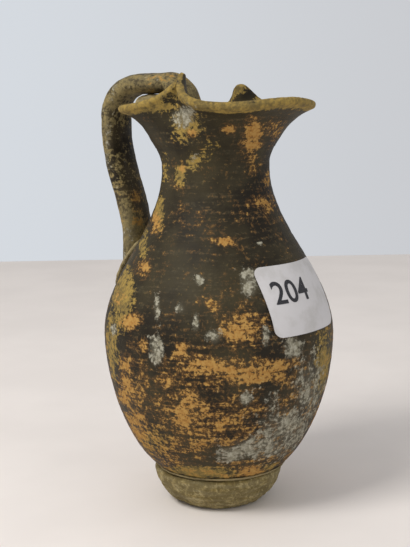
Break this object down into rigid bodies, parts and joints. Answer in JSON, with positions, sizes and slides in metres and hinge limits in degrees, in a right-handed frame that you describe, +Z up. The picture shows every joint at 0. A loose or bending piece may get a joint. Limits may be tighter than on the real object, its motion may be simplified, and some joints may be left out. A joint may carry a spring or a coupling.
{
  "type": "oinochoe",
  "caption": "Small wheel-thrown clay wine jug with an egg-shaped belly, a pinched trefoil pouring mouth, a high strap handle and a disc foot.",
  "frame": {"origin": "where the wheel axis meets the flat underside of the foot", "axes": "+Z up the wheel axis, +X towards the pouring lobe of the mouth, the handle on the -X side"},
  "size_m": [0.0849, 0.08, 0.1499],
  "materials": {
    "worn_gloss": "dark slip gloss, matt with wear, flaked to orange clay and spotted with lime",
    "handle_gloss": "worn dark slip over clay, scratched grey-green on top",
    "foot_clay": "bare olive-yellow clay, rough and crumbly",
    "slip_clay": "wiped clay slip, matt",
    "label_paper": "matt white paper with plain printed figures"
  },
  "bodies": {
    "root": {"foot": "foot_clay", "foot_luting_bead": "slip_clay", "belly": "worn_gloss", "neck": "worn_gloss", "trefoil_mouth": "worn_gloss", "handle": "handle_gloss", "handle_lower_luting": "slip_clay", "handle_upper_luting": "slip_clay", "label": "label_paper"}
  },
  "joints": []
}
